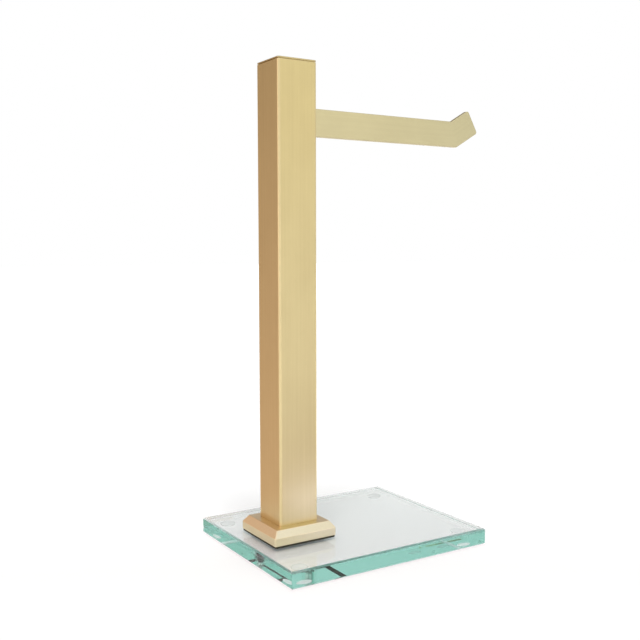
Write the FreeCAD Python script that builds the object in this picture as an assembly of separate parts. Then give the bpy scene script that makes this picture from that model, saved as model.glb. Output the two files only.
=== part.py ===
import FreeCAD, Part
import math
import os

# Countertop towel stand: a square tube post in a chamfered foot flange, clamped through a clear glass
# plate, with a flat bar arm whose end is turned up. Millimetres, +Z up, the arm points along +X, and
# the origin lies on the countertop at the centre of the stand's outline.
# Every piece is drawn about the post's axis, and save() shifts it into that frame.

# Glass plate
base_length = 139.7
base_width = 114.3
base_behind_post = 31.1
glass_thickness = 10.0
glass_corner_radius = 1.0
glass_arris = 0.9

# Bumper feet under the plate
foot_diameter = 10.0
foot_height = 1.0
foot_taper = 0.6
foot_inset = 12.0

# Gasket and foot flange
gasket_thickness = 1.2
gasket_inset = 0.4
gasket_corner_radius = 0.6
gasket_lip_width = 4.0
gasket_relief = 0.3
flange_side = 42.0
flange_height = 8.7
flange_chamfer_run = 2.9
flange_chamfer_rise = 4.0
flange_corner_radius = 0.8
flange_edge_break = 0.4
flange_rim = 3.0
flange_floor = 2.8
flange_boss_diameter = 18.0
flange_rib_thickness = 2.5
socket_depth = 3.0

# Post
stand_height = 294.3
post_side = 26.0
post_wall = 1.5
post_corner_radius = 1.6
post_bore_radius = 0.5
seam_chamfer = 0.2

# Threaded plug in the foot of the post
plug_height = 18.0
plug_lead_chamfer = 0.8

# Countersunk clamp screw and the nylon bush that keeps it off the glass
screw_diameter = 6.0
screw_length = 30.0
screw_head_diameter = 12.4
screw_head_recess = 0.3
screw_socket_across = 4.0
screw_socket_depth = 2.0
screw_end_chamfer = 0.8
screw_hole_clearance = 0.3
bush_wall = 1.3

# Towel arm: a flat bar on edge, with a shouldered tang inside the post
arm_reach = 147.1
arm_height = 16.7
arm_thickness = 3.0
arm_drop = 34.1
arm_edge_break = 0.3
tip_length = 18.7
tip_angle = 30.0
tip_corner_radius = 1.8
bend_radius = 1.2
tang_shoulder = 2.0
tang_length = 19.0

# Clamp block in the post and the two set screws that bear on the tang
block_above_tang = 8.0
block_below_tang = 4.5
set_screw_diameter = 4.0
set_screw_length = 6.0
set_screw_margin = 3.6
set_screw_point_diameter = 2.0
set_screw_point_depth = 0.8
set_screw_socket_across = 2.0
set_screw_socket_depth = 2.0

# Top cap and the finned insert that holds it
cap_thickness = 1.3
cap_edge_break = 0.3
cap_rebate_height = 0.35
cap_rebate_depth = 0.5
stem_diameter = 5.0
stem_length = 5.0
insert_depth = 10.0
insert_top = 2.5
insert_wall = 1.4
insert_fin_count = 3
insert_fin_height = 0.9
insert_fin_reach = 0.8

# Clearances beside a sliding or pressed piece and round a thread, and the corners of pieces in the post
slide_clearance = 0.1
thread_clearance = 0.05
inner_corner_radius = 1.0

# Two points closer than this are one point
same_place = 1e-6

# Heights of the faces that pieces rest on
glass_bottom = foot_height
glass_top = glass_bottom + glass_thickness
flange_bottom = glass_top + gasket_thickness
flange_top = flange_bottom + flange_height
flange_shoulder = flange_top - flange_chamfer_rise
post_bottom = flange_top - socket_depth
plug_top = post_bottom + plug_height
tube_top = stand_height - cap_thickness
arm_level = stand_height - arm_drop
tang_top = arm_level + arm_height / 2 - tang_shoulder
tang_bottom = arm_level - arm_height / 2 + tang_shoulder

# Sizes that follow from what goes inside
flange_top_side = flange_side - 2 * flange_chamfer_run
bore_side = post_side - 2 * post_wall
inner_side = bore_side - 2 * slide_clearance
screw_hole_diameter = screw_diameter + 2 * screw_hole_clearance
head_cone_radius = screw_head_diameter / 2 + screw_head_recess
bush_inner_radius = screw_diameter / 2 + slide_clearance
bush_outer_radius = bush_inner_radius + bush_wall
flare_inner_radius = head_cone_radius + slide_clearance
flare_outer_radius = flare_inner_radius + bush_wall
glass_hole_radius = bush_outer_radius + slide_clearance
countersink_radius = flare_outer_radius + slide_clearance

# Places along the arm, from the post's axis
post_face = post_side / 2
tang_end = post_face - tang_length
tip_turn = math.radians(tip_angle)
tip_forward = tip_length * math.cos(tip_turn) + arm_height / 2 * math.sin(tip_turn)
tip_corner_loss = tip_corner_radius * (math.cos(tip_turn) + math.sin(tip_turn) - 1)
bend_x = arm_reach - tip_forward + tip_corner_loss
set_screw_places = (tang_end + set_screw_margin, inner_side / 2 - set_screw_margin)

# The plate's centre and the whole outline's centre, from the post's axis
plate_centre = base_length / 2 - base_behind_post
outline_centre = (arm_reach - base_behind_post) / 2

UP = FreeCAD.Vector(0, 0, 1)
CENTRE = FreeCAD.Vector(0, 0, 0)


def point(x, y, z=0.0):
    return FreeCAD.Vector(x, y, z)


def rounded_wire(corners, z=0.0):
    """Closed wire through corners (x, y, radius) at height z, with a tangent arc at each radius."""
    edges = []
    ends = []
    for i, (x, y, radius) in enumerate(corners):
        here = point(x, y, z)
        before = (point(*corners[i - 1][:2], z) - here).normalize()
        after = (point(*corners[(i + 1) % len(corners)][:2], z) - here).normalize()
        half = before.getAngle(after) / 2
        setback = radius / math.tan(half)
        middle = here + (before + after).normalize() * (radius / math.sin(half) - radius)
        ends.append((here + before * setback, middle, here + after * setback))
    for i, (start, middle, end) in enumerate(ends):
        leaving = ends[i - 1][2]
        if leaving.distanceToPoint(start) > same_place:
            edges.append(Part.LineSegment(leaving, start).toShape())
        if start.distanceToPoint(end) > same_place:
            edges.append(Part.Arc(start, middle, end).toShape())
    return Part.Wire(edges)


def rectangle(length, width, radius, centre_x=0.0):
    """Corners of a rounded rectangle centred on (centre_x, 0)."""
    half_x, half_y = length / 2, width / 2
    signs = ((-1, -1), (1, -1), (1, 1), (-1, 1))
    return [(centre_x + sx * half_x, sy * half_y, radius) for sx, sy in signs]


def square(side, radius):
    return rectangle(side, side, radius)


def prism(corners, low, high):
    """Solid with the given outline between two heights."""
    return Part.Face(rounded_wire(corners, low)).extrude(UP * (high - low))


def box(x_range, y_range, z_range):
    (x0, x1), (y0, y1), (z0, z1) = x_range, y_range, z_range
    return Part.makeBox(x1 - x0, y1 - y0, z1 - z0, point(x0, y0, z0))


def rod(diameter, low, high, x=0.0):
    return Part.makeCylinder(diameter / 2, high - low, point(x, 0, low))


def hexagon(across, low, high, x=0.0):
    """Hexagonal prism, for a key socket."""
    reach = across / math.sqrt(3)
    turns = [math.radians(60 * i) for i in range(6)]
    return prism([(x + reach * math.cos(t), reach * math.sin(t), 0.0) for t in turns], low, high)


def turned(profile, x=0.0):
    """Solid of revolution of a closed (radius, height) outline about a vertical axis at x."""
    outline = [point(r, 0, z) for r, z in profile]
    solid = Part.Face(Part.makePolygon(outline + outline[:1])).revolve(CENTRE, UP, 360)
    solid.translate(point(x, 0))
    return solid


def level_edges(shape, *heights):
    """Edges that lie flat at one of the heights."""
    flat = [e for e in shape.Edges if e.BoundBox.ZLength < same_place]
    return [e for e in flat if any(abs(e.BoundBox.ZMin - h) < same_place for h in heights)]


def make_glass_base():
    outline = rectangle(base_length, base_width, glass_corner_radius, plate_centre)
    plate = prism(outline, glass_bottom, glass_top)
    plate = plate.makeChamfer(glass_arris, level_edges(plate, glass_bottom, glass_top))
    hole = turned([
        (0, glass_bottom),
        (countersink_radius, glass_bottom),
        (glass_hole_radius, glass_bottom + countersink_radius - glass_hole_radius),
        (glass_hole_radius, glass_top),
        (0, glass_top),
    ])
    return plate.cut(hole)


def make_foot(x, y):
    """Tapered bumper, glued to the plate by its wide face."""
    return Part.makeCone(foot_diameter / 2 - foot_taper, foot_diameter / 2, foot_height, point(x, y))


def make_feet():
    left, right = foot_inset - base_behind_post, base_length - base_behind_post - foot_inset
    front, back = foot_inset - base_width / 2, base_width / 2 - foot_inset
    return {
        "foot_front_left": make_foot(left, front),
        "foot_front_right": make_foot(right, front),
        "foot_back_left": make_foot(left, back),
        "foot_back_right": make_foot(right, back),
    }


def make_flange_gasket():
    """Pad under the flange, relieved below so that it bears on the glass by a lip round its edge."""
    side = flange_side - 2 * gasket_inset
    pad = prism(square(side, gasket_corner_radius), glass_top, flange_bottom)
    relief = square(side - 2 * gasket_lip_width, gasket_corner_radius)
    pad = pad.cut(prism(relief, glass_top, glass_top + gasket_relief))
    return pad.cut(rod(screw_hole_diameter, glass_top, flange_bottom))


def make_base_flange():
    """Casting: upright wall, chamfered hip, a socket for the post above and a ribbed relief below."""
    top_radius = flange_corner_radius * flange_top_side / flange_side
    wall = prism(square(flange_side, flange_corner_radius), flange_bottom, flange_shoulder)
    hip = Part.makeLoft([
        rounded_wire(square(flange_side, flange_corner_radius), flange_shoulder),
        rounded_wire(square(flange_top_side, top_radius), flange_top),
    ], True, True)
    body = wall.fuse(hip).removeSplitter()
    body = body.makeChamfer(flange_edge_break, level_edges(body, flange_shoulder, flange_top))
    socket = square(post_side + 2 * slide_clearance, post_corner_radius + slide_clearance)
    body = body.cut(prism(socket, post_bottom, flange_top))
    relief_top = post_bottom - flange_floor
    relief = prism(square(flange_side - 2 * flange_rim, flange_corner_radius), flange_bottom, relief_top)
    relief = relief.cut(rod(flange_boss_diameter, flange_bottom, relief_top))
    half_rib = flange_rib_thickness / 2
    rib = box((-flange_side, flange_side), (-half_rib, half_rib), (flange_bottom, relief_top))
    for turn in (45, 135):
        relief = relief.cut(rib.rotated(CENTRE, UP, turn))
    body = body.cut(relief)
    return body.cut(rod(screw_hole_diameter, flange_bottom, flange_top))


def make_post_tube():
    tube = prism(square(post_side, post_corner_radius), post_bottom, tube_top)
    tube = tube.makeChamfer(seam_chamfer, level_edges(tube, tube_top))
    tube = tube.cut(prism(square(bore_side, post_bore_radius), post_bottom, tube_top))
    half_slot = arm_thickness / 2 + slide_clearance
    slot = box((0, post_side), (-half_slot, half_slot),
               (tang_bottom - slide_clearance, tang_top + slide_clearance))
    return tube.cut(slot)


def make_foot_plug():
    plug = prism(square(inner_side, inner_corner_radius), post_bottom, plug_top)
    plug = plug.makeChamfer(plug_lead_chamfer, level_edges(plug, plug_top))
    return plug.cut(rod(screw_diameter + 2 * thread_clearance, post_bottom, plug_top))


def make_glass_bush():
    """Nylon sleeve through the plate with a flare that fills its countersink."""
    return turned([
        (flare_inner_radius, glass_bottom),
        (flare_outer_radius, glass_bottom),
        (bush_outer_radius, glass_bottom + flare_outer_radius - bush_outer_radius),
        (bush_outer_radius, glass_top),
        (bush_inner_radius, glass_top),
        (bush_inner_radius, glass_bottom + flare_inner_radius - bush_inner_radius),
    ])


def make_clamp_screw():
    """Countersunk screw, head down in the bush, thread up in the foot plug."""
    head_face = glass_bottom + screw_head_recess
    head = screw_head_diameter / 2
    shank = screw_diameter / 2
    end = head_face + screw_length
    screw = turned([
        (0, head_face),
        (head, head_face),
        (shank, head_face + head - shank),
        (shank, end - screw_end_chamfer),
        (shank - screw_end_chamfer, end),
        (0, end),
    ])
    return screw.cut(hexagon(screw_socket_across, head_face, head_face + screw_socket_depth))


def make_towel_arm():
    """Flat bar on edge: shouldered tang, straight run, mitred upturn with a rounded square end."""
    half = arm_height / 2
    tang_half = half - tang_shoulder
    mitre = half * math.tan(tip_turn / 2)
    along = point(math.cos(tip_turn), math.sin(tip_turn))
    across = point(-math.sin(tip_turn), math.cos(tip_turn))
    tip = point(bend_x, 0) + along * tip_length
    lower_tip, upper_tip = tip - across * half, tip + across * half
    outline = [
        (tang_end, -tang_half, 0.0),
        (post_face, -tang_half, 0.0),
        (post_face, -half, 0.0),
        (bend_x + mitre, -half, bend_radius),
        (lower_tip.x, lower_tip.y, tip_corner_radius),
        (upper_tip.x, upper_tip.y, tip_corner_radius),
        (bend_x - mitre, half, bend_radius),
        (post_face, half, 0.0),
        (post_face, tang_half, 0.0),
        (tang_end, tang_half, 0.0),
    ]
    side = arm_thickness / 2
    arm = prism(outline, -side, side)
    showing = [e for e in level_edges(arm, -side, side) if e.BoundBox.XMax > post_face + same_place]
    arm = arm.makeChamfer(arm_edge_break, showing)
    arm.rotate(CENTRE, point(1, 0), 90)
    arm.translate(UP * arm_level)
    for x in set_screw_places:
        arm = arm.cut(set_screw_point(x))
    return arm


def set_screw_point(x):
    """Cone with which a set screw bites into the tang's top edge."""
    wide = set_screw_point_diameter / 2
    bottom = tang_top - set_screw_point_depth
    return turned([(0, bottom), (wide - set_screw_point_depth, bottom), (wide, tang_top), (0, tang_top)], x)


def make_set_screws():
    """Two set screws, cone point down, key socket up."""
    top = tang_top + set_screw_length
    body = set_screw_diameter / 2
    bevel = body - set_screw_point_diameter / 2
    screws = []
    for x in set_screw_places:
        thread = turned([
            (0, tang_top),
            (set_screw_point_diameter / 2, tang_top),
            (body, tang_top + bevel),
            (body, top),
            (0, top),
        ], x)
        socket = hexagon(set_screw_socket_across, top - set_screw_socket_depth, top, x)
        screws.append(thread.fuse(set_screw_point(x)).removeSplitter().cut(socket))
    return Part.makeCompound(screws)


def make_arm_block():
    """Block that slides down the post; the tang locks into its slot through the post's wall."""
    low, high = tang_bottom - block_below_tang, tang_top + block_above_tang
    block = prism(square(inner_side, inner_corner_radius), low, high)
    half_slot = arm_thickness / 2 + slide_clearance
    slot = box((tang_end - slide_clearance, post_side), (-half_slot, half_slot),
               (tang_bottom, tang_top + slide_clearance))
    block = block.cut(slot)
    for x in set_screw_places:
        block = block.cut(rod(set_screw_diameter + 2 * thread_clearance, arm_level, high, x))
    return block


def make_cap_insert():
    """Nylon plug: a hollow body whose fins grip the bore of the post, with a hole for the cap's stem."""
    body_side = inner_side - 2 * insert_fin_reach
    low = tube_top - insert_depth
    insert = prism(square(body_side, inner_corner_radius), low, tube_top)
    pitch = (insert_depth - insert_fin_height) / (insert_fin_count - 1)
    for i in range(insert_fin_count):
        fin_low = low + i * pitch
        fin = prism(square(inner_side, inner_corner_radius), fin_low, fin_low + insert_fin_height)
        insert = insert.fuse(fin)
    hollow_side = body_side - 2 * insert_wall
    insert = insert.cut(prism(square(hollow_side, inner_corner_radius), low, tube_top - insert_top))
    stem_hole = rod(stem_diameter + 2 * thread_clearance, low, tube_top)
    return insert.removeSplitter().cut(stem_hole)


def make_top_cap():
    """Plate flush with the post's faces, rebated over the seam, with a stem pressed into the insert."""
    seam_top = tube_top + cap_rebate_height
    plate = prism(square(post_side, post_corner_radius), seam_top, stand_height)
    plate = plate.makeChamfer(cap_edge_break, level_edges(plate, stand_height))
    step_radius = post_corner_radius - cap_rebate_depth
    step = prism(square(post_side - 2 * cap_rebate_depth, step_radius), tube_top, seam_top)
    stem = rod(stem_diameter, tube_top - stem_length, tube_top)
    return plate.fuse([step, stem]).removeSplitter()


def save(name, shape):
    """Shifts a finished piece into the stand's frame and writes it."""
    shape.translate(point(-outline_centre, 0))
    shape.exportStep(f"parts/{name}.step")


def main():
    os.makedirs("parts", exist_ok=True)
    pieces = {
        "glass_base": make_glass_base(),
        "glass_bush": make_glass_bush(),
        "clamp_screw": make_clamp_screw(),
        "flange_gasket": make_flange_gasket(),
        "base_flange": make_base_flange(),
        "foot_plug": make_foot_plug(),
        "post_tube": make_post_tube(),
        "towel_arm": make_towel_arm(),
        "arm_block": make_arm_block(),
        "arm_set_screws": make_set_screws(),
        "cap_insert": make_cap_insert(),
        "top_cap": make_top_cap(),
    }
    pieces.update(make_feet())
    for name, shape in pieces.items():
        save(name, shape)


main()
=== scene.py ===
"""Dressed model of a countertop towel stand.

A square gold post stands in a chamfered flange that is clamped through a clear glass plate, and a flat
bar arm with a turned-up end leaves the post near its top. Each class below is one sub-assembly: it
holds its sizes in millimetres, works its surfaces out with numpy and dresses them in its finishes.
"""

import logging
import math
from dataclasses import dataclass
from enum import Enum
from typing import Iterable, Sequence

import bpy
import numpy as np
from mathutils import Matrix, Vector


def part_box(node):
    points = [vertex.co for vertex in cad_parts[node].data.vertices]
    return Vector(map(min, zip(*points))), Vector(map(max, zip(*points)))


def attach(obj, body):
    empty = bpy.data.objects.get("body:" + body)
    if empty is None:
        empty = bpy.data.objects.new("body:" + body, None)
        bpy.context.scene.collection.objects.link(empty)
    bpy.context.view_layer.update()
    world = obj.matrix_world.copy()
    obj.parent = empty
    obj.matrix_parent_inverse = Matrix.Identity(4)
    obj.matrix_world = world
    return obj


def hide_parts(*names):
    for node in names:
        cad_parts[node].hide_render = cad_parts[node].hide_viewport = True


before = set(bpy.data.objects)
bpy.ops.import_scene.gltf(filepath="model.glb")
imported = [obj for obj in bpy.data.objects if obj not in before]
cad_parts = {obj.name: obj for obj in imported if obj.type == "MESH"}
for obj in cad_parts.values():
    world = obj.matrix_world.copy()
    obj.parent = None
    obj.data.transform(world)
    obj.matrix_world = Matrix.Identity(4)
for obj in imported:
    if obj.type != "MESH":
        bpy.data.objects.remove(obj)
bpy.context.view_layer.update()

LOG = logging.getLogger("towel_stand")
MM = 0.001
WELD_STEP = 1e-6
LEAST_LENGTH = 1e-12
LEAST_HALF_ANGLE = 1e-3
SHARP_ANGLE = math.radians(33.0)
EDGE_MASK = "edge"
BAR_PLACE = "bar_place"

Place = tuple[float, float, float]
Tint = tuple[float, float, float]
Colour = tuple[float, float, float, float]
WHITE: Colour = (1.0, 1.0, 1.0, 1.0)


class Slot(str, Enum):
    """The record's material slots; nothing in the script gives them to the pieces."""

    SATIN_GOLD = "satin_gold"
    CLEAR_GLASS = "clear_glass"
    CLEAR_BUMPER = "clear_bumper"
    BLACK_RUBBER = "black_rubber"
    WHITE_NYLON = "white_nylon"
    PLATED_STEEL = "plated_steel"


class Grain(Enum):
    """Which way a metal piece was brushed, as the pattern's size along X, Y and Z in millimetres."""

    UPRIGHT = (0.55, 0.55, 60.0)
    LENGTHWISE = (60.0, 0.55, 0.55)
    BLASTED = (0.35, 0.35, 0.35)


class EdgeTone(Enum):
    """How a piece's edges are toned, as a share of its colour in red, green and blue: lighter as rubbed
    plating and painted highlight, darker as painted shade.
    """

    # lighter edges: rubbed plating, partly a painted highlight
    RUBBED_AND_HIGHLIGHT = (1.10, 1.05, 1.04)
    # darker edges: painted shade, the dark lines along edges and in the cap's seam
    PAINTED_SHADE = (0.55, 0.50, 0.45)


class Effect(Enum):
    """The shader effects that several finishes share."""

    BRUSHED_GRAIN = "brushed_grain"
    SOFT_CLOUD = "soft_cloud"
    EDGE_RUB = "edge_rub"
    FINE_PITS = "fine_pits"


# Surfaces


@dataclass(frozen=True)
class Bend:
    """One corner of a wall section that is carried round an axis.

    Attributes:
        reach: distance from the axis to the loop's flat side, along Y.
        height: Z of the corner.
        fillet: radius that rounds the section here.
        corner: corner radius of the loop; equal to reach it makes a circle, below zero a sharp corner.
        longer: how much further the loop reaches along X than along Y.
        shift: how far the loop's centre lies from the axis along X.
        ground: edge mask of the whole loop, 1 where the surface is ground or cut; on the cap's rebate it
            places painted shade in the seam.
        corners: False where the loop's corners are not edges of the piece.
    """

    reach: float
    height: float
    fillet: float = 0.0
    corner: float = 0.0
    longer: float = 0.0
    shift: float = 0.0
    ground: float = 0.0
    corners: bool = True


@dataclass(frozen=True)
class Facets:
    """How finely a carried surface is divided.

    Attributes:
        fillet: chords in a fillet of the section or a bend of the path.
        corner: chords in a corner of the loops.
        landing: distance from an arc to the extra point beside it, in millimetres.
    """

    fillet: int
    corner: int
    landing: float

    @property
    def per_bend(self) -> int:
        """Returns the path points of one bend: its chords' ends and a landing on either side."""
        return self.fillet + 3


@dataclass
class Sheet:
    """A grid of points in millimetres, whose columns always join up.

    Attributes:
        points: the grid, of shape (rows, columns, 3).
        edge: every point's edge mask.
        rows_join: True if the last row joins the first.
        place: every point's place on the straightened bar, where grain follows a bend.
    """

    points: np.ndarray
    edge: np.ndarray
    rows_join: bool
    place: np.ndarray | None = None

    def quads(self) -> np.ndarray:
        """Numbers the corners of every cell of the grid.

        Returns:
            Corner numbers, of shape (rows of cells, columns of cells, 4).
        """
        rows, cols = self.points.shape[:2]
        number = np.arange(rows * cols).reshape(rows, cols)
        if self.rows_join:
            number = np.vstack([number, number[:1]])
        right = np.roll(number, -1, axis=1)
        return np.stack([number[:-1], right[:-1], right[1:], number[1:]], axis=-1)


def unit(rows: np.ndarray) -> np.ndarray:
    """Returns rows scaled to length 1; a row of no length stays as it is."""
    return rows / np.maximum(np.linalg.norm(rows, axis=1, keepdims=True), LEAST_LENGTH)


def section_path(bends: Sequence[Bend], facets: Facets) -> tuple[np.ndarray, np.ndarray, np.ndarray]:
    """Rounds the corners of a wall section.

    At each corner the path leaves the straight run at the fillet's tangent point, follows the arc
    centre + (a sin((1-t)w) + b sin(tw)) / sin w, where a and b point from the centre to the two
    tangent points and w is the angle between them, and goes on along the next run. One more point
    lies on each run just beside the arc, so that smooth shading stays inside the arc.

    Args:
        bends: the section's corners in order round it.
        facets: how finely its fillets are divided.

    Returns:
        The path's (reach, height) points, their edge mask, and the number of the corner each is on.
    """
    corner = np.array([(b.reach, b.height) for b in bends])
    fillet = np.array([b.fillet for b in bends])[:, None]
    before = unit(np.roll(corner, 1, axis=0) - corner)
    after = unit(np.roll(corner, -1, axis=0) - corner)
    half = np.arccos(np.clip((before * after).sum(1, keepdims=True), -1, 1)) / 2
    half = np.clip(half, LEAST_HALF_ANGLE, math.pi / 2 - LEAST_HALF_ANGLE)
    centre = corner + unit(before + after) * fillet / np.sin(half)
    start = corner + before * fillet / np.tan(half)
    end = corner + after * fillet / np.tan(half)
    sweep = math.pi - 2 * half
    t = np.linspace(0, 1, facets.fillet + 1)
    first = np.sin((1 - t) * sweep) / np.sin(sweep)
    last = np.sin(t * sweep) / np.sin(sweep)
    arc = centre[:, None] + first[..., None] * (start - centre)[:, None]
    arc = arc + last[..., None] * (end - centre)[:, None]
    land = np.where(fillet > 0, facets.landing, 0.0)
    path = np.concatenate([(start + before * land)[:, None], arc, (end + after * land)[:, None]], axis=1)
    mask = np.repeat([[b.ground] for b in bends], path.shape[1], axis=1)
    mask[:, 1:-1] = np.maximum(mask[:, 1:-1], fillet > 0)
    number = np.repeat(np.arange(len(bends)), path.shape[1])
    return path.reshape(-1, 2), mask.reshape(-1), number


def rounded_loops(
    half_x: np.ndarray, half_y: np.ndarray, radius: np.ndarray, facets: Facets, splits: Sequence[float] = ()
) -> tuple[np.ndarray, np.ndarray]:
    """Works out rounded rectangles, one to a row.

    A corner's points are its centre plus the radius turned through a quarter; a landing point lies on
    the flat side beside each end of the quarter, and splits are more points on every side, given by
    their distance from its middle. A rectangle whose corner radius equals its reach is a circle.

    Args:
        half_x, half_y: half lengths of the sides, one for each row.
        radius: corner radius of each row.
        facets: how finely the corners are divided.
        splits: places along each side.

    Returns:
        Points of shape (rows, columns, 2) and the columns' edge mask.
    """
    turn = np.concatenate([[0.0], np.linspace(0, 1, facets.corner + 1), [1.0]])
    slide = np.zeros(len(turn))
    slide[[0, -1]] = -1.0, 1.0
    angle = (np.arange(4)[:, None] + turn) * math.pi / 2
    sign_x = np.array([1, -1, -1, 1])[:, None]
    sign_y = np.array([1, 1, -1, -1])[:, None]
    hx, hy, r = (v[:, None, None] for v in (half_x, half_y, radius))
    land = np.clip(np.minimum(hx, hy) - r, 0, 2 * facets.landing) / 2 * slide
    x = sign_x * (hx - r) + r * np.cos(angle) - land * np.sin(angle)
    y = sign_y * (hy - r) + r * np.sin(angle) + land * np.cos(angle)
    mask = np.zeros(angle.shape)
    mask[:, 2:-2] = 1.0
    if len(splits):
        out = (np.arange(4)[:, None] + 1) * math.pi / 2
        away = np.abs(np.cos(out)) * hx + np.abs(np.sin(out)) * hy
        offset = np.asarray(splits)[None, None, :]
        x = np.concatenate([x, np.cos(out) * away - np.sin(out) * offset], axis=2)
        y = np.concatenate([y, np.sin(out) * away + np.cos(out) * offset], axis=2)
        mask = np.concatenate([mask, np.zeros((4, len(splits)))], axis=1)
    rows = len(half_x)
    return np.stack([x, y], axis=-1).reshape(rows, -1, 2), mask.reshape(-1)


def carry_round(
    bends: Sequence[Bend], axis: Sequence[float], facets: Facets, splits: Sequence[float] = ()
) -> Sheet:
    """Carries a wall section round an upright axis along rounded-rectangle loops.

    The section's path gives every row its reach and height, the row's loop is a rounded rectangle with
    that reach, and its corner radius grows and shrinks with the reach so that loops stay parallel. A
    section that starts on the axis ends there too; any other closes on itself.

    Args:
        bends: the section's corners.
        axis: X and Y of the axis, in millimetres.
        facets: how finely the surface is divided.
        splits: extra columns on each side of the loops.

    Returns:
        The surface as one grid, in millimetres.
    """
    path, row_mask, number = section_path(bends, facets)
    reach, height = path.T
    own = np.array([(b.reach, b.corner, b.longer, b.shift, b.corners) for b in bends])[number]
    own_reach, corner, longer, shift, has_corners = own.T
    radius = np.clip(corner + reach - own_reach, 0, reach)
    loops, col_mask = rounded_loops(reach + longer, reach, radius, facets, splits)
    x = loops[..., 0] + shift[:, None] + axis[0]
    y = loops[..., 1] + axis[1]
    points = np.stack([x, y, np.broadcast_to(height[:, None], x.shape)], axis=-1)
    angular = has_corners * (corner < own_reach)
    edge = np.maximum(row_mask[:, None], col_mask[None, :] * angular[:, None])
    return Sheet(points, edge, rows_join=bends[0].reach > 0)


def weld(points: np.ndarray, quads: np.ndarray) -> tuple[np.ndarray, list[list[int]]]:
    """Joins points that share a place and drops what collapses, so seams and poles close.

    Args:
        points: (n, 3) places in metres.
        quads: (m, 4) corner numbers.

    Returns:
        The kept points' numbers, and the faces as lists of numbers among the kept points.
    """
    key = np.round(points / WELD_STEP).astype(np.int64)
    _, keep, goes_to = np.unique(key, axis=0, return_index=True, return_inverse=True)
    corners = goes_to.reshape(-1)[quads]
    same = corners == np.roll(corners, -1, axis=1)
    lost = same.sum(1)
    whole = corners[lost == 0]
    whole = whole[(whole[:, 0] != whole[:, 2]) & (whole[:, 1] != whole[:, 3])]
    short = corners[lost == 1][~same[lost == 1]].reshape(-1, 3)
    return keep, whole.tolist() + short.tolist()


def outward(points: np.ndarray, faces: list[list[int]]) -> list[list[int]]:
    """Turns a closed surface's faces so that the volume they enclose counts as positive.

    Args:
        points: (n, 3) places.
        faces: triangles and quads.

    Returns:
        The faces, all turned round if the volume was negative.
    """
    fans = np.array([(f[0], f[i], f[i + 1]) for f in faces for i in range(1, len(f) - 1)])
    a, b, c = (points[fans[:, i]] - points.mean(0) for i in range(3))
    volume = (a * np.cross(b, c)).sum()
    return faces if volume > 0 else [f[::-1] for f in faces]


def make_piece(
    name: str, sheets: Sequence[Sheet], extra: np.ndarray | None = None, without: np.ndarray | None = None
) -> bpy.types.Object:
    """Puts closed surfaces into one mesh object at the origin.

    Args:
        name: the piece's name.
        sheets: grids in millimetres.
        extra: more quads, by point number over all the grids.
        without: a mask over the first grid's cells that are left out.

    Returns:
        The new object, smooth except at sharp edges, with its edge mask as a point attribute.
    """
    points = np.concatenate([s.points.reshape(-1, 3) for s in sheets]) * MM
    edge = np.concatenate([s.edge.reshape(-1) for s in sheets])
    starts = np.cumsum([0] + [s.edge.size for s in sheets])
    cells = [s.quads() + start for s, start in zip(sheets, starts)]
    if without is not None:
        cells[0] = cells[0][~without]
    added = [] if extra is None else [extra]
    keep, faces = weld(points, np.concatenate([c.reshape(-1, 4) for c in cells] + added))
    kept = points[keep]
    mesh = bpy.data.meshes.new(name)
    mesh.from_pydata(kept.tolist(), [], outward(kept, faces))
    mask = mesh.attributes.new(EDGE_MASK, "FLOAT", "POINT")
    mask.data.foreach_set("value", edge[keep].astype(np.float32))
    if sheets[0].place is not None:
        place = np.concatenate([s.place.reshape(-1, 3) for s in sheets])[keep] * MM
        attribute = mesh.attributes.new(BAR_PLACE, "FLOAT_VECTOR", "POINT")
        attribute.data.foreach_set("vector", place.astype(np.float32).ravel())
    mesh.shade_smooth()
    mesh.set_sharp_from_angle(angle=SHARP_ANGLE)
    mesh.update()
    piece = bpy.data.objects.new(name, mesh)
    bpy.context.scene.collection.objects.link(piece)
    return piece


def fit_piece(piece: bpy.types.Object, node: str, material: bpy.types.Material) -> None:
    """Dresses a piece and lets it stand for its CAD node.

    Args:
        piece: the new piece.
        node: the CAD node it stands for.
        material: its material.
    """
    piece.data.materials.append(material)
    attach(piece, "root")
    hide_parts(node)
    LOG.info("%s stands for %s: %d faces", piece.name, node, len(piece.data.polygons))


def dress_node(node: str, material: bpy.types.Material) -> None:
    """Gives a CAD node that stays as it is a finish of its own.

    Args:
        node: the CAD node.
        material: its material.
    """
    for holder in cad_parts[node].material_slots:
        holder.material = material
    LOG.info("%s keeps its solid", node)


def node_axis(node: str) -> tuple[float, float]:
    """Returns the X and Y of a CAD node's middle, in millimetres."""
    low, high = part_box(node)
    return (low.x + high.x) / 2 / MM, (low.y + high.y) / 2 / MM


def node_heights(node: str) -> tuple[float, float]:
    """Returns a CAD node's lowest and highest Z, in millimetres."""
    low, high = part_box(node)
    return low.z / MM, high.z / MM


def half_width(node: str) -> float:
    """Returns half of a CAD node's length along X, in millimetres."""
    low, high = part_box(node)
    return (high.x - low.x) / 2 / MM


# Shader building blocks


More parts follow.
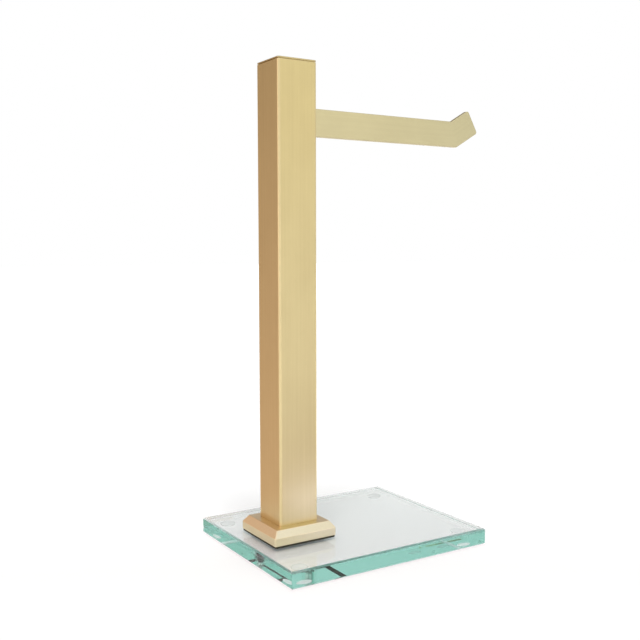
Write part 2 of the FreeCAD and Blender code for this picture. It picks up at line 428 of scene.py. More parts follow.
class Bench:
    """Places and joins shader nodes in one tree."""

    def __init__(self, tree: bpy.types.NodeTree) -> None:
        """Starts on a node tree."""
        self.tree = tree

    @classmethod
    def cleared(cls, owner: bpy.types.Material | bpy.types.World) -> "Bench":
        """Empties the node tree of a material or a world.

        Args:
            owner: the material or world.

        Returns:
            A bench on its tree.
        """
        owner.use_nodes = True
        owner.node_tree.nodes.clear()
        return cls(owner.node_tree)

    def add(
        self, kind: str, inputs: dict[str | int, object] | None = None, **settings: object
    ) -> bpy.types.Node:
        """Adds a node.

        Args:
            kind: the node's type without its ShaderNode prefix.
            inputs: values or sockets for its inputs, by name or number.
            settings: the node's own properties.

        Returns:
            The new node.
        """
        node = self.tree.nodes.new("ShaderNode" + kind)
        for key, value in settings.items():
            setattr(node, key, value)
        for key, value in (inputs or {}).items():
            self.put(node.inputs[key], value)
        return node

    def put(self, socket: bpy.types.NodeSocket, value: object) -> None:
        """Joins an output to an input, or sets the input's own value.

        Args:
            socket: the input.
            value: an output socket, or a plain value.
        """
        if isinstance(value, bpy.types.NodeSocket):
            self.tree.links.new(value, socket)
        else:
            socket.default_value = value

    def math(self, operation: str, a: object, b: object) -> bpy.types.NodeSocket:
        """Returns the result of a math node on two values."""
        return self.add("Math", {0: a, 1: b}, operation=operation).outputs[0]

    def weighted(self, share: float, first: object, second: object) -> bpy.types.NodeSocket:
        """Returns a share of the first value plus the rest of the second."""
        rest = self.math("MULTIPLY", second, 1.0 - share)
        return self.math("ADD", self.math("MULTIPLY", first, share), rest)

    def span(
        self, value: object, low: float = 0.0, high: float = 1.0, to_low: float = 0.0, to_high: float = 1.0
    ) -> bpy.types.NodeSocket:
        """Moves a value from one range to another and keeps it there.

        Args:
            value: the value or socket.
            low, high: the range it comes from.
            to_low, to_high: the range it goes to.

        Returns:
            The moved value.
        """
        inputs = {"Value": value, "From Min": low, "From Max": high, "To Min": to_low, "To Max": to_high}
        return self.add("MapRange", inputs).outputs["Result"]

    def blend(self, share: object, first: object, second: object) -> bpy.types.NodeSocket:
        """Returns a colour between two."""
        return self.add("Mix", {0: share, 6: first, 7: second}, data_type="RGBA").outputs[2]

    def noise(self, vector: object, scale: object, detail: float, roughness: float) -> bpy.types.NodeSocket:
        """Returns the value of a noise texture."""
        inputs = {"Vector": vector, "Scale": scale, "Detail": detail, "Roughness": roughness}
        return self.add("TexNoise", inputs).outputs[0]

    def stretched(self, vector: object, sizes: Sequence[float]) -> bpy.types.NodeSocket:
        """Returns coordinates scaled so that a pattern has the given sizes, in millimetres."""
        scale = tuple(1.0 / (s * MM) for s in sizes)
        return self.add("Mapping", {"Vector": vector, "Scale": scale}).outputs[0]

    def object_place(self) -> bpy.types.NodeSocket:
        """Returns the Object coordinates."""
        return self.add("TexCoord").outputs["Object"]

    def attribute(self, name: str) -> bpy.types.Node:
        """Returns a node that reads the piece's own attribute."""
        return self.add("Attribute", attribute_name=name)

    def bump(self, height: object, strength: float, distance: float) -> bpy.types.NodeSocket:
        """Returns the normal of a bump of that height, with the distance in millimetres."""
        inputs = {"Height": height, "Strength": strength, "Distance": distance * MM}
        return self.add("Bump", inputs).outputs[0]


class GroupMaker:
    """Shader effects that several finishes share, each built once as a node group."""

    @staticmethod
    def start(
        effect: Effect, values: dict[str, float], outputs: Sequence[str]
    ) -> tuple[bpy.types.NodeTree, Bench, bpy.types.Node, bpy.types.Node]:
        """Makes an empty group with a Vector input, number inputs and number outputs.

        Args:
            effect: which effect it is for.
            values: names and defaults of its number inputs.
            outputs: names of its outputs.

        Returns:
            The group, a bench on it, its input node and its output node.
        """
        group = bpy.data.node_groups.new(effect.value, "ShaderNodeTree")
        group.interface.new_socket(name="Vector", in_out="INPUT", socket_type="NodeSocketVector")
        for label, default in values.items():
            socket = group.interface.new_socket(name=label, in_out="INPUT", socket_type="NodeSocketFloat")
            socket.default_value = default
        for label in outputs:
            group.interface.new_socket(name=label, in_out="OUTPUT", socket_type="NodeSocketFloat")
        return group, Bench(group), group.nodes.new("NodeGroupInput"), group.nodes.new("NodeGroupOutput")

    @classmethod
    def found(cls, effect: Effect) -> bpy.types.NodeTree:
        """Returns an effect's group, building it the first time."""
        group = bpy.data.node_groups.get(effect.value)
        return group if group is not None else getattr(cls, effect.value)()

    @classmethod
    def brushed_grain(cls) -> bpy.types.NodeTree:
        """Builds fine lines: broad and narrow noise along coordinates that are already stretched.

        Returns:
            The group.
        """
        group, bench, given, result = cls.start(Effect.BRUSHED_GRAIN, {"Fineness": 4.0}, ["Streak", "Height"])
        place, fineness = given.outputs["Vector"], given.outputs["Fineness"]
        finer = bench.add("VectorMath", {0: place, "Scale": fineness}, operation="SCALE").outputs[0]
        broad = bench.noise(place, scale=0.35, detail=3.0, roughness=0.6)
        narrow = bench.noise(finer, scale=1.0, detail=2.0, roughness=0.65)
        streak = bench.weighted(share=0.6, first=broad, second=narrow)
        bench.put(result.inputs["Streak"], bench.span(streak, low=0.3, high=0.7))
        bench.put(result.inputs["Height"], narrow)
        return group

    @classmethod
    def soft_cloud(cls) -> bpy.types.NodeTree:
        """Builds slow patches of a given size, for uneven plating and handling.

        Returns:
            The group.
        """
        group, bench, given, result = cls.start(Effect.SOFT_CLOUD, {"Scale": 30.0}, ["Cloud"])
        noise = bench.noise(given.outputs["Vector"], given.outputs["Scale"], detail=3.0, roughness=0.55)
        bench.put(result.inputs["Cloud"], bench.span(noise, low=0.35, high=0.65))
        return group

    @classmethod
    def edge_rub(cls) -> bpy.types.NodeTree:
        """Builds a mask along the piece's marked edges, broken up by noise; it places the edge wear and the
        edge colour's painted highlight or shade.

        Returns:
            The group.
        """
        group, bench, given, result = cls.start(Effect.EDGE_RUB, {"Scale": 180.0, "Amount": 1.0}, ["Mask"])
        noise = bench.noise(given.outputs["Vector"], given.outputs["Scale"], detail=4.0, roughness=0.6)
        broken = bench.span(noise, low=0.3, high=0.62, to_low=0.35)
        edge = bench.math("MULTIPLY", bench.attribute(EDGE_MASK).outputs["Fac"], broken)
        bench.put(result.inputs["Mask"], bench.math("MULTIPLY", edge, given.outputs["Amount"]))
        return group

    @classmethod
    def fine_pits(cls) -> bpy.types.NodeTree:
        """Builds a close pebbled texture from noise and cell distance.

        Returns:
            The group.
        """
        group, bench, given, result = cls.start(Effect.FINE_PITS, {"Scale": 1500.0}, ["Height", "Speck"])
        place, scale = given.outputs["Vector"], given.outputs["Scale"]
        noise = bench.noise(place, scale, detail=3.0, roughness=0.6)
        cells = bench.add("TexVoronoi", {"Vector": place, "Scale": scale})
        bench.put(result.inputs["Height"], bench.math("MULTIPLY", noise, cells.outputs["Distance"]))
        bench.put(result.inputs["Speck"], bench.span(noise, low=0.55, high=0.75))
        return group


def place_group(bench: Bench, effect: Effect, **inputs: object) -> bpy.types.Node:
    """Places a shared effect in a material.

    Args:
        bench: the material's bench.
        effect: which effect.
        inputs: values or sockets for its inputs.

    Returns:
        The group's node.
    """
    node = bench.tree.nodes.new("ShaderNodeGroup")
    node.node_tree = GroupMaker.found(effect)
    for key, value in inputs.items():
        bench.put(node.inputs[key], value)
    return node


def start_material(name: str) -> tuple[bpy.types.Material, Bench, bpy.types.Node, bpy.types.Node]:
    """Makes a material that holds a Principled shader and its output.

    Args:
        name: the material's name.

    Returns:
        The material, a bench on its tree, the shader and the output node.
    """
    material = bpy.data.materials.new(name)
    bench = Bench.cleared(material)
    shader = bench.add("BsdfPrincipled")
    output = bench.add("OutputMaterial", {"Surface": shader.outputs[0]})
    return material, bench, shader, output


def let_light_through(bench: Bench, shader: bpy.types.Node, output: bpy.types.Node, shade: Colour) -> None:
    """Makes a clear shader plainly transparent to light on its way to what lies behind it.

    Args:
        bench: the material's bench.
        shader: its Principled shader.
        output: its output node.
        shade: what one crossing leaves of the light.
    """
    clear = bench.add("BsdfTransparent", {"Color": shade})
    path = bench.add("LightPath")
    lighting = bench.math("MAXIMUM", path.outputs["Is Shadow Ray"], path.outputs["Is Diffuse Ray"])
    mixed = bench.add("MixShader", {0: lighting, 1: shader.outputs[0], 2: clear.outputs[0]})
    bench.put(output.inputs["Surface"], mixed.outputs[0])


# Finishes


@dataclass(frozen=True)
class SatinMetal:
    """A brushed or blasted metal: grain in its colour, roughness and bump, and edges painted lighter or
    darker as highlight or shade.

    Attributes:
        name: the material's name.
        colour: its main colour.
        deep: the colour in the valleys of the grain.
        edge: the colour along its edges; lighter it is partly a painted highlight, darker it is painted
            shade.
        rough: its lowest and highest roughness.
        grain: which way it was brushed.
        fineness: how many times finer the narrow lines are than the broad ones.
        depth: the grain's depth in millimetres.
        along_bar: True if the grain follows the arm's bent bar.
        patches: scale of the slow patches in its tone.
        streak_share: how much of its tone is grain; the rest is patches.
        wear_and_light_scale, wear_and_light: scale and strength of what shows along its edges: wear that
            polishes them, and the edge colour as painted highlight or shade.
        wear_polish: how much smoother its edges are.
        relief: strength of its bump.
    """

    name: str
    colour: Colour
    deep: Colour
    edge: Colour
    rough: tuple[float, float]
    grain: Grain
    fineness: float = 4.0
    depth: float = 0.004
    along_bar: bool = False
    patches: float = 28.0
    streak_share: float = 0.65
    wear_and_light_scale: float = 220.0
    wear_and_light: float = 0.55
    wear_polish: float = 0.08
    relief: float = 0.25

    def material(self) -> bpy.types.Material:
        """Builds the material.

        Returns:
            The material.
        """
        material, bench, shader, _ = start_material(self.name)
        place = bench.attribute(BAR_PLACE).outputs["Vector"] if self.along_bar else bench.object_place()
        lines = bench.stretched(place, self.grain.value)
        grain = place_group(bench, Effect.BRUSHED_GRAIN, Vector=lines, Fineness=self.fineness)
        cloud = place_group(bench, Effect.SOFT_CLOUD, Vector=place, Scale=self.patches)
        wear_and_light_mask = place_group(bench, Effect.EDGE_RUB, Vector=place, Scale=self.wear_and_light_scale, Amount=self.wear_and_light)
        tone = bench.weighted(self.streak_share, grain.outputs["Streak"], cloud.outputs["Cloud"])
        body = bench.blend(tone, self.deep, self.colour)
        # along the edges the edge colour is mixed in: a painted highlight where lighter, painted shade where
        # darker
        bench.put(shader.inputs["Base Color"], bench.blend(wear_and_light_mask.outputs["Mask"], body, self.edge))
        smoothest, roughest = self.rough
        dull = bench.span(tone, to_low=roughest, to_high=smoothest)
        worn = bench.math("MULTIPLY", wear_and_light_mask.outputs["Mask"], -self.wear_polish)
        bench.put(shader.inputs["Roughness"], bench.math("ADD", dull, worn))
        bench.put(shader.inputs["Normal"], bench.bump(grain.outputs["Height"], self.relief, self.depth))
        shader.inputs["Metallic"].default_value = 1.0
        return material


@dataclass(frozen=True)
class FloatGlass:
    """Clear polished glass, green through its depth, dull on its ground upper arris.

    Attributes:
        name: the material's name.
        tint, density: colour and strength of the absorption inside it.
        index: its refractive index.
        shade: what one crossing leaves of the light on its way to the floor.
        ground_rough: roughness of the ground arris.
        film_rough, film_scale: highest roughness and scale of the film that handling leaves.
        speck, speck_scale: tone and scale of its faint specks.
    """

    name: str = "clear_float_glass"
    tint: Colour = (0.073, 0.625, 0.515, 1.0)
    density: float = 11.0
    index: float = 1.52
    shade: Colour = (0.995, 0.932, 0.953, 1.0)
    ground_rough: float = 0.9
    film_rough: float = 0.012
    film_scale: float = 22.0
    speck: Colour = (0.985, 0.995, 0.99, 1.0)
    speck_scale: float = 900.0

    def material(self) -> bpy.types.Material:
        """Builds the material: Principled glass that lets lamps through, with absorption inside.

        Returns:
            The material.
        """
        material, bench, shader, output = start_material(self.name)
        place = bench.object_place()
        smear = place_group(bench, Effect.SOFT_CLOUD, Vector=place, Scale=self.film_scale)
        pits = place_group(bench, Effect.FINE_PITS, Vector=place, Scale=self.speck_scale)
        film = bench.span(smear.outputs["Cloud"], to_high=self.film_rough)
        ground = bench.span(bench.attribute(EDGE_MASK).outputs["Fac"], to_high=self.ground_rough)
        bench.put(shader.inputs["Roughness"], bench.math("ADD", film, ground))
        bench.put(shader.inputs["Base Color"], bench.blend(pits.outputs["Speck"], WHITE, self.speck))
        shader.inputs["IOR"].default_value = self.index
        shader.inputs["Transmission Weight"].default_value = 1.0
        let_light_through(bench, shader, output, self.shade)
        inside = bench.add("VolumeAbsorption", {"Color": self.tint, "Density": self.density})
        bench.put(output.inputs["Volume"], inside.outputs[0])
        return material


@dataclass(frozen=True)
class ClearResin:
    """A clear or slightly milky resin with a faint haze and a finely pitted skin.

    Attributes:
        name: the material's name.
        colour, haze: its colour, and the colour of its hazy patches.
        rough: roughness of clear and of hazy patches.
        index: its refractive index.
        clarity: 1 for a clear resin, less for a milky one.
        shade: what one crossing leaves of the light on its way to the floor.
        patches, pit_scale: scales of the haze and of the pits.
        relief, depth: strength and depth in millimetres of the pits.
    """

    name: str
    colour: Colour
    haze: Colour
    rough: tuple[float, float]
    index: float = 1.52
    clarity: float = 1.0
    shade: Colour = WHITE
    patches: float = 240.0
    pit_scale: float = 700.0
    relief: float = 0.2
    depth: float = 0.004

    def material(self) -> bpy.types.Material:
        """Builds the material.

        Returns:
            The material.
        """
        material, bench, shader, output = start_material(self.name)
        place = bench.object_place()
        cloud = place_group(bench, Effect.SOFT_CLOUD, Vector=place, Scale=self.patches).outputs["Cloud"]
        pits = place_group(bench, Effect.FINE_PITS, Vector=place, Scale=self.pit_scale)
        clear_rough, hazy_rough = self.rough
        bench.put(shader.inputs["Base Color"], bench.blend(cloud, self.colour, self.haze))
        bench.put(shader.inputs["Roughness"], bench.span(cloud, to_low=clear_rough, to_high=hazy_rough))
        bench.put(shader.inputs["Normal"], bench.bump(pits.outputs["Height"], self.relief, self.depth))
        shader.inputs["IOR"].default_value = self.index
        shader.inputs["Transmission Weight"].default_value = self.clarity
        let_light_through(bench, shader, output, self.shade)
        return material


@dataclass(frozen=True)
class MouldedPlastic:
    """A moulded plastic or rubber: pebbled skin, specks and slow patches.

    Attributes:
        name: the material's name.
        colour, speck: its colour, and the colour of its specks.
        rough: its lowest and highest roughness.
        pebble: scale of its pebbled skin.
        depth: depth of the skin in millimetres.
        patches: scale of the slow patches.
        speck_share: how much of its tone is specks; the rest is patches.
        relief: strength of its bump.
    """

    name: str
    colour: Colour
    speck: Colour
    rough: tuple[float, float]
    pebble: float
    depth: float = 0.01
    patches: float = 120.0
    speck_share: float = 0.7
    relief: float = 0.4

    def material(self) -> bpy.types.Material:
        """Builds the material.

        Returns:
            The material.
        """
        material, bench, shader, _ = start_material(self.name)
        place = bench.object_place()
        pits = place_group(bench, Effect.FINE_PITS, Vector=place, Scale=self.pebble)
        cloud = place_group(bench, Effect.SOFT_CLOUD, Vector=place, Scale=self.patches).outputs["Cloud"]
        tone = bench.weighted(self.speck_share, pits.outputs["Speck"], cloud)
        smoothest, roughest = self.rough
        bench.put(shader.inputs["Base Color"], bench.blend(tone, self.colour, self.speck))
        bench.put(shader.inputs["Roughness"], bench.span(cloud, to_low=smoothest, to_high=roughest))
        bench.put(shader.inputs["Normal"], bench.bump(pits.outputs["Height"], self.relief, self.depth))
        return material


VALLEY_TONE: Tint = (0.90, 0.885, 0.865)
PLAIN_TONE: Tint = (1.0, 1.0, 1.0)
GOLD_ROUGH = (0.34, 0.40)


def gold(name: str, colour: Tint, grain: Grain, edge: EdgeTone, along_bar: bool = False) -> SatinMetal:
    """Mixes the satin gold of one piece.

    Args:
        name: the material's name.
        colour: the piece's tone of gold; the flange's paler tone is partly painted light.
        grain: which way it was brushed.
        edge: how its edges differ: lighter as rubbed plating with a painted highlight, or darker as painted
            shade.
        along_bar: True if the grain follows the arm's bent bar.

    Returns:
        The finish, with valleys a little deeper than the colour and its edges painted lighter or darker.
    """
    def toned(tint: Tint) -> Colour:
        """Returns the colour times a tint, 1 at most."""
        return tuple(min(c * k, 1.0) for c, k in zip(colour, tint)) + (1.0,)

    tones = [toned(tint) for tint in (PLAIN_TONE, VALLEY_TONE, edge.value)]
    return SatinMetal(name, *tones, GOLD_ROUGH, grain, along_bar=along_bar)


# edge tones: lighter edges are rubbed plating and partly a painted highlight; darker edges are painted shade
POST_GOLD = gold("satin_gold_post", (0.745, 0.618, 0.336), Grain.UPRIGHT, EdgeTone.RUBBED_AND_HIGHLIGHT)
CAP_GOLD = gold("satin_gold_cap", (0.745, 0.618, 0.336), Grain.LENGTHWISE, EdgeTone.PAINTED_SHADE)
# paler than the post's gold: partly painted light, standing in for the brighter light on the flange's front
FLANGE_GOLD_WITH_LIGHT = gold("satin_gold_flange_with_light", (0.852, 0.736, 0.496), Grain.BLASTED, EdgeTone.RUBBED_AND_HIGHLIGHT)
ARM_GOLD = gold("satin_gold_arm", (0.718, 0.64, 0.41), Grain.LENGTHWISE, EdgeTone.PAINTED_SHADE, along_bar=True)
PLUG_BRASS = SatinMetal(
    "machined_brass",
    colour=(0.70, 0.52, 0.22, 1.0),
    deep=(0.56, 0.40, 0.15, 1.0),
    edge=(0.80, 0.62, 0.30, 1.0),
    rough=(0.24, 0.36),
    grain=Grain.LENGTHWISE,
    fineness=3.0,
    depth=0.008,
)
SCREW_STEEL = SatinMetal(
    "bright_zinc_plate",
    colour=(0.82, 0.82, 0.83, 1.0),
    deep=(0.74, 0.74, 0.75, 1.0),
    edge=(0.88, 0.88, 0.88, 1.0),
    rough=(0.08, 0.16),
    grain=Grain.BLASTED,
    fineness=2.0,
    depth=0.001,
)
PLATE_GLASS = FloatGlass()
FOOT_BUMPER = ClearResin(
    "clear_bumper_resin",
    colour=(0.985, 0.99, 0.99, 1.0),
    haze=(0.95, 0.965, 0.965, 1.0),
    rough=(0.12, 0.25),
    clarity=0.5,
)
SLEEVE_NYLON = ClearResin(
    "clear_nylon_sleeve",
    colour=(0.98, 0.975, 0.96, 1.0),
    haze=(0.95, 0.945, 0.92, 1.0),
    rough=(0.02, 0.06),
    index=1.53,
)
PAD_RUBBER = MouldedPlastic(
    "black_pad_rubber",
    colour=(0.038, 0.033, 0.014, 1.0),
    speck=(0.064, 0.056, 0.030, 1.0),
    rough=(0.62, 0.82),
    pebble=2600.0,
    depth=0.02,
)
INSERT_NYLON = MouldedPlastic(
    "natural_nylon",
    colour=(0.80, 0.78, 0.71, 1.0),
    speck=(0.70, 0.68, 0.61, 1.0),
    rough=(0.38, 0.52),
    pebble=1800.0,
)


# Sub-assemblies


@dataclass
class GlassPlate:
    """The glass plate and the bumper feet glued under it.

    Attributes:
        corner_radius, arris: radius of the plate's upright corners and width of the cut along its faces.
        ground_fade: how soon the ground arris turns into polished glass.
        hole_radius, countersink_radius: the screw hole and the mouth of its countersink.
        foot_edge, foot_rim: how round a bumper is at its foot and at the glass.
        foot_taper: how much narrower a bumper is at its foot.
        press: how far the bumpers' glued faces reach into the glass, so that no air is left between.
        feet: the bumpers' nodes.
        plate_facets, foot_facets: how finely the surfaces are divided.
    """

    corner_radius: float = 0.2
    arris: float = 0.9
    ground_fade: float = 0.05
    hole_radius: float = 4.5
    countersink_radius: float = 8.0
    foot_edge: float = 0.4
    foot_rim: float = 0.1
    foot_taper: float = 0.6
    press: float = 0.01
    feet: tuple[str, ...] = ("foot_front_left", "foot_front_right", "foot_back_left", "foot_back_right")
    plate_facets: Facets = Facets(fillet=2, corner=12, landing=0.3)
    foot_facets: Facets = Facets(fillet=8, corner=10, landing=0.05)

    def plate(self) -> bpy.types.Object:
        """Builds the plate: its edge section, arrises cut off, carried round from the screw hole's rim.

        The upper arris is left ground; the rest is polished.

        Returns:
            The plate.
        """
        low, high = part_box("glass_base")
        bottom, top = node_heights("glass_base")
        wide, long = (high.y - low.y) / 2 / MM, half_width("glass_base")
        axis = node_axis("post_tube")
        oblong = {"longer": long - wide, "shift": node_axis("glass_base")[0] - axis[0]}
        wall = {"corner": self.corner_radius, "corners": False, **oblong}
        face = {"corner": self.corner_radius - self.arris, **oblong}
        polished = {"corner": self.corner_radius - self.arris - self.ground_fade, "corners": False, **oblong}
        hole, sink = self.hole_radius, self.countersink_radius
        rim, fade = wide - self.arris, self.ground_fade
        bends = [
            Bend(hole, top, corner=hole),
            Bend(rim - fade, top, **polished),
            Bend(rim, top, ground=1.0, **face),
            Bend(wide, top - self.arris, ground=1.0, **wall),
            Bend(wide, top - self.arris - fade, **wall),
            Bend(wide, bottom + self.arris, **wall),
            Bend(rim, bottom, **face),
            Bend(sink, bottom, corner=sink),
            Bend(hole, bottom + sink - hole, corner=hole),
        ]
        return make_piece("glass_plate", [carry_round(bends, axis, self.plate_facets)])

    def foot(self, node: str) -> bpy.types.Object:
        """Builds one bumper: a tapered disc with a rounded foot, carried round its own axis.

        Args:
            node: the CAD node of the foot.

        Returns:
            The bumper.
        """
        bottom, seat = node_heights(node)
        top = seat + self.press
        wide = half_width(node)
        narrow = wide - self.foot_taper
        bends = [
            Bend(0.0, bottom),
            Bend(narrow, bottom, self.foot_edge, narrow),
            Bend(wide, top, self.foot_rim, wide),
            Bend(0.0, top),
        ]
        disc = carry_round(bends, node_axis(node), self.foot_facets)
        return make_piece(node.replace("foot", "bumper"), [disc])

    def build(self) -> None:
        """Builds and dresses the plate and its feet."""
        fit_piece(self.plate(), "glass_base", PLATE_GLASS.material())
        resin = FOOT_BUMPER.material()
        for node in self.feet:
            fit_piece(self.foot(node), node, resin)


@dataclass
class Screw:
    """A hexagon-socket screw with a helical thread.

    Attributes:
        pitch, thread_depth: the thread's pitch and depth.
        socket_across, socket_depth: size of the key socket.
        thread_peak, thread_slope: height and slope of the wave that gives the thread its flat
            crests and roots, cut off at 0 and 1.
        columns: points round the axis, a multiple of six so that the socket's corners are points.
        rows_per_pitch: rows of points along one pitch.
    """

    pitch: float
    thread_depth: float
    socket_across: float
    socket_depth: float
    thread_peak: float = 1.15
    thread_slope: float = 2.6
    columns: int = 48
    rows_per_pitch: int = 14

    def surface(self, outline: Sequence[tuple[float, float, float]], x: float, y: float) -> Sheet:
        """Turns an outline, cuts its thread and sinks the key socket.

        A point's radius is the outline's radius less depth times the thread's form, a triangle wave of
        height / pitch minus turn / 360 degrees; on the socket's rows it is the hexagon's reach,
        half the width across flats over the cosine of the angle to the nearest flat.

        Args:
            outline: (radius, height, thread share) from the socket's rim along the screw to its other end.
            x, y: the axis.

        Returns:
            The screw's closed surface.
        """
        corners = np.array(outline)
        run = np.concatenate([[0.0], np.cumsum(np.hypot(*np.diff(corners[:, :2], axis=0).T))])
        fine = np.arange(0.0, run[-1], self.pitch / self.rows_per_pitch)
        along = np.unique(np.concatenate([run, fine]))
        radius, height, share = (np.interp(along, run, corners[:, i]) for i in range(3))
        turn = np.arange(self.columns) * 2 * math.pi / self.columns
        wave = (height[:, None] / self.pitch - turn / (2 * math.pi)) % 1.0
        form = np.clip(self.thread_peak - self.thread_slope * np.abs(wave - 0.5), 0.0, 1.0)
        body = np.maximum(radius[:, None] - self.thread_depth * share[:, None] * form, 0.0)
        rim = corners[0, 1]
        floor = rim + self.socket_depth * np.sign(height[-1] - rim)
        between_flats = math.pi / 3
        to_flat = (turn + between_flats / 2) % between_flats - between_flats / 2
        hexagon = self.socket_across / 2 / np.cos(to_flat)
        pole = np.zeros(self.columns)
        reach = np.vstack([pole, hexagon, hexagon, body, pole])
        level = np.concatenate([[floor, floor, rim], height, height[-1:]])
        points = np.stack([
            x + reach * np.cos(turn),
            y + reach * np.sin(turn),
            np.broadcast_to(level[:, None], reach.shape),
        ], axis=-1)
        crest = np.vstack([pole, pole, pole, (1.0 - form) * share[:, None], pole])
        return Sheet(points, crest, False)


@dataclass
class FootClamp:
    """What clamps the post to the glass: countersunk screw, nylon bush, plug, pad and flange.

    Attributes:
        screw: the clamp screw's thread and socket.
        head_radius, head_edge: the countersunk head and the width of its edge.
        shank_radius, plain_shank, end_chamfer: the shank, its plain neck and the cut at its end.
        bush_wall, bush_bore, bush_fit: the sleeve's wall, its bore, and how much larger it is than its
            CAD node, to fill the hole.
        gasket_hole: radius of the screw hole in the pad and the flange.
        gasket_corner, gasket_bulge, gasket_round: the pad's corners, and how far and how roundly its
            sides are squeezed out.
        gasket_lip, gasket_relief: width of the lip that bears on the glass, and the step inside it.
        gasket_pinch: how much narrower the pad's faces are than its CAD node.
        press: how far the lip reaches into the glass, so that no air is left between.
        flange_rise, flange_run: height and depth of the flange's chamfered hip.
        flange_corner, flange_fillet, flange_foot: its upright corners, the soft edges of its hip, and its
            lower edge.
        socket_reach, socket_corner, socket_depth, socket_edge: the socket that takes the post.
        flange_floor, flange_rim, boss_radius: thickness of its floor, its wall round the relief
            underneath, and the boss round the screw.
        bush_facets, gasket_facets, flange_facets: how finely the surfaces are divided.
    """

    screw: Screw
    head_radius: float = 6.2
    head_edge: float = 0.15
    shank_radius: float = 3.0
    plain_shank: float = 7.0
    end_chamfer: float = 0.8
    bush_wall: float = 1.3
    bush_bore: float = 3.1
    bush_fit: float = 0.11
    gasket_hole: float = 3.3
    gasket_corner: float = 0.6
    gasket_bulge: float = 0.10
    gasket_round: float = 0.4
    gasket_lip: float = 4.0
    gasket_relief: float = 0.3
    gasket_pinch: float = 0.1
    press: float = 0.02
    flange_rise: float = 4.0
    flange_run: float = 2.9
    flange_corner: float = 0.8
    flange_fillet: float = 0.7
    flange_foot: float = 0.3
    socket_reach: float = 13.1
    socket_corner: float = 1.7
    socket_depth: float = 3.0
    socket_edge: float = 0.15
    flange_floor: float = 2.8
    flange_rim: float = 3.0
    boss_radius: float = 9.0
    bush_facets: Facets = Facets(fillet=2, corner=12, landing=0.12)
    gasket_facets: Facets = Facets(fillet=5, corner=8, landing=0.08)
    flange_facets: Facets = Facets(fillet=6, corner=8, landing=0.1)

    def clamp_screw(self) -> bpy.types.Object:
        """Builds the clamp screw, head down, with a short plain neck below its thread.

        Returns:
            The screw.
        """
        bottom, top = node_heights("clamp_screw")
        head, edge, shank = self.head_radius, self.head_edge, self.shank_radius
        neck = bottom + edge + head - shank
        outline = [
            (head - edge, bottom, 0.0),
            (head, bottom + edge, 0.0),
            (shank, neck, 0.0),
            (shank, neck + self.plain_shank, 0.0),
            (shank, neck + self.plain_shank + self.screw.pitch, 1.0),
            (shank, top - self.end_chamfer, 1.0),
            (shank - self.end_chamfer, top, 0.0),
        ]
        x, y = node_axis("clamp_screw")
        return make_piece("countersunk_screw", [self.screw.surface(outline, x, y)])

    def bush(self) -> bpy.types.Object:
        """Builds the sleeve: a thin wall that flares into the countersink, carried round the screw.

        Its outer face fits the glass without a gap, so that no air shows between the two.

        Returns:
            The sleeve.
        """
        bottom, top = node_heights("glass_bush")
        flare, bore = half_width("glass_bush"), self.bush_bore
        mouth, skirt = flare - self.bush_wall, flare + self.bush_fit
        sleeve = bore + self.bush_wall + self.bush_fit
        bends = [
            Bend(mouth, bottom, corner=mouth),
            Bend(skirt, bottom, corner=skirt),
            Bend(sleeve, bottom + skirt - sleeve, corner=sleeve),
            Bend(sleeve, top, corner=sleeve),
            Bend(bore, top, corner=bore),
            Bend(bore, bottom + mouth - bore, corner=bore),
        ]
        return make_piece("screw_sleeve", [carry_round(bends, node_axis("glass_bush"), self.bush_facets)])

    def gasket(self) -> bpy.types.Object:
        """Builds the pad: its section, sides squeezed out a little, carried round the screw hole.

        Only the lip round its edge is pressed on to the glass; inside it the underside is relieved.

        Returns:
            The pad.
        """
        seat, top = node_heights("flange_gasket")
        bottom, ceiling = seat - self.press, seat + self.gasket_relief
        wide, hole = half_width("flange_gasket"), self.gasket_hole
        lip, side, bulge = wide - self.gasket_lip, wide - self.gasket_pinch, self.gasket_bulge
        square = {"corner": self.gasket_corner}
        bends = [
            Bend(hole, ceiling, corner=hole),
            Bend(lip, ceiling, **square),
            Bend(lip, bottom, **square),
            Bend(side, bottom, **square),
            Bend(wide + bulge, (bottom + top) / 2, self.gasket_round, self.gasket_corner + bulge),
            Bend(side, top, **square),
            Bend(hole, top, corner=hole),
        ]
        pad = carry_round(bends, node_axis("flange_gasket"), self.gasket_facets)
        return make_piece("rubber_pad", [pad])

    def flange(self) -> bpy.types.Object:
        """Builds the casting: wall, soft-edged hip, post socket, screw hole and relief, carried round.

        Returns:
            The flange.
        """
        bottom, top = node_heights("base_flange")
        wide = half_width("base_flange")
        shoulder, floor = top - self.flange_rise, top - self.socket_depth
        relief = floor - self.flange_floor
        narrow, rim = wide - self.flange_run, wide - self.flange_rim
        square = {"corner": self.flange_corner}
        hole, boss = self.gasket_hole, self.boss_radius
        bends = [
            Bend(hole, bottom, corner=hole),
            Bend(boss, bottom, corner=boss),
            Bend(boss, relief, corner=boss),
            Bend(rim, relief, **square),
            Bend(rim, bottom, **square),
            Bend(wide, bottom, self.flange_foot, **square),
            Bend(wide, shoulder, self.flange_fillet, **square),
            Bend(narrow, top, self.flange_fillet, self.flange_corner * narrow / wide),
            Bend(self.socket_reach, top, self.socket_edge, self.socket_corner),
            Bend(self.socket_reach, floor, 0.0, self.socket_corner),
            Bend(hole, floor, corner=hole),
        ]
        casting = carry_round(bends, node_axis("base_flange"), self.flange_facets)
        return make_piece("foot_flange", [casting])

    def build(self) -> None:
        """Builds and dresses the clamp's pieces."""
        fit_piece(self.clamp_screw(), "clamp_screw", SCREW_STEEL.material())
        fit_piece(self.gasket(), "flange_gasket", PAD_RUBBER.material())
        fit_piece(self.flange(), "base_flange", FLANGE_GOLD_WITH_LIGHT.material())
        fit_piece(self.bush(), "glass_bush", SLEEVE_NYLON.material())
        dress_node("foot_plug", PLUG_BRASS.material())


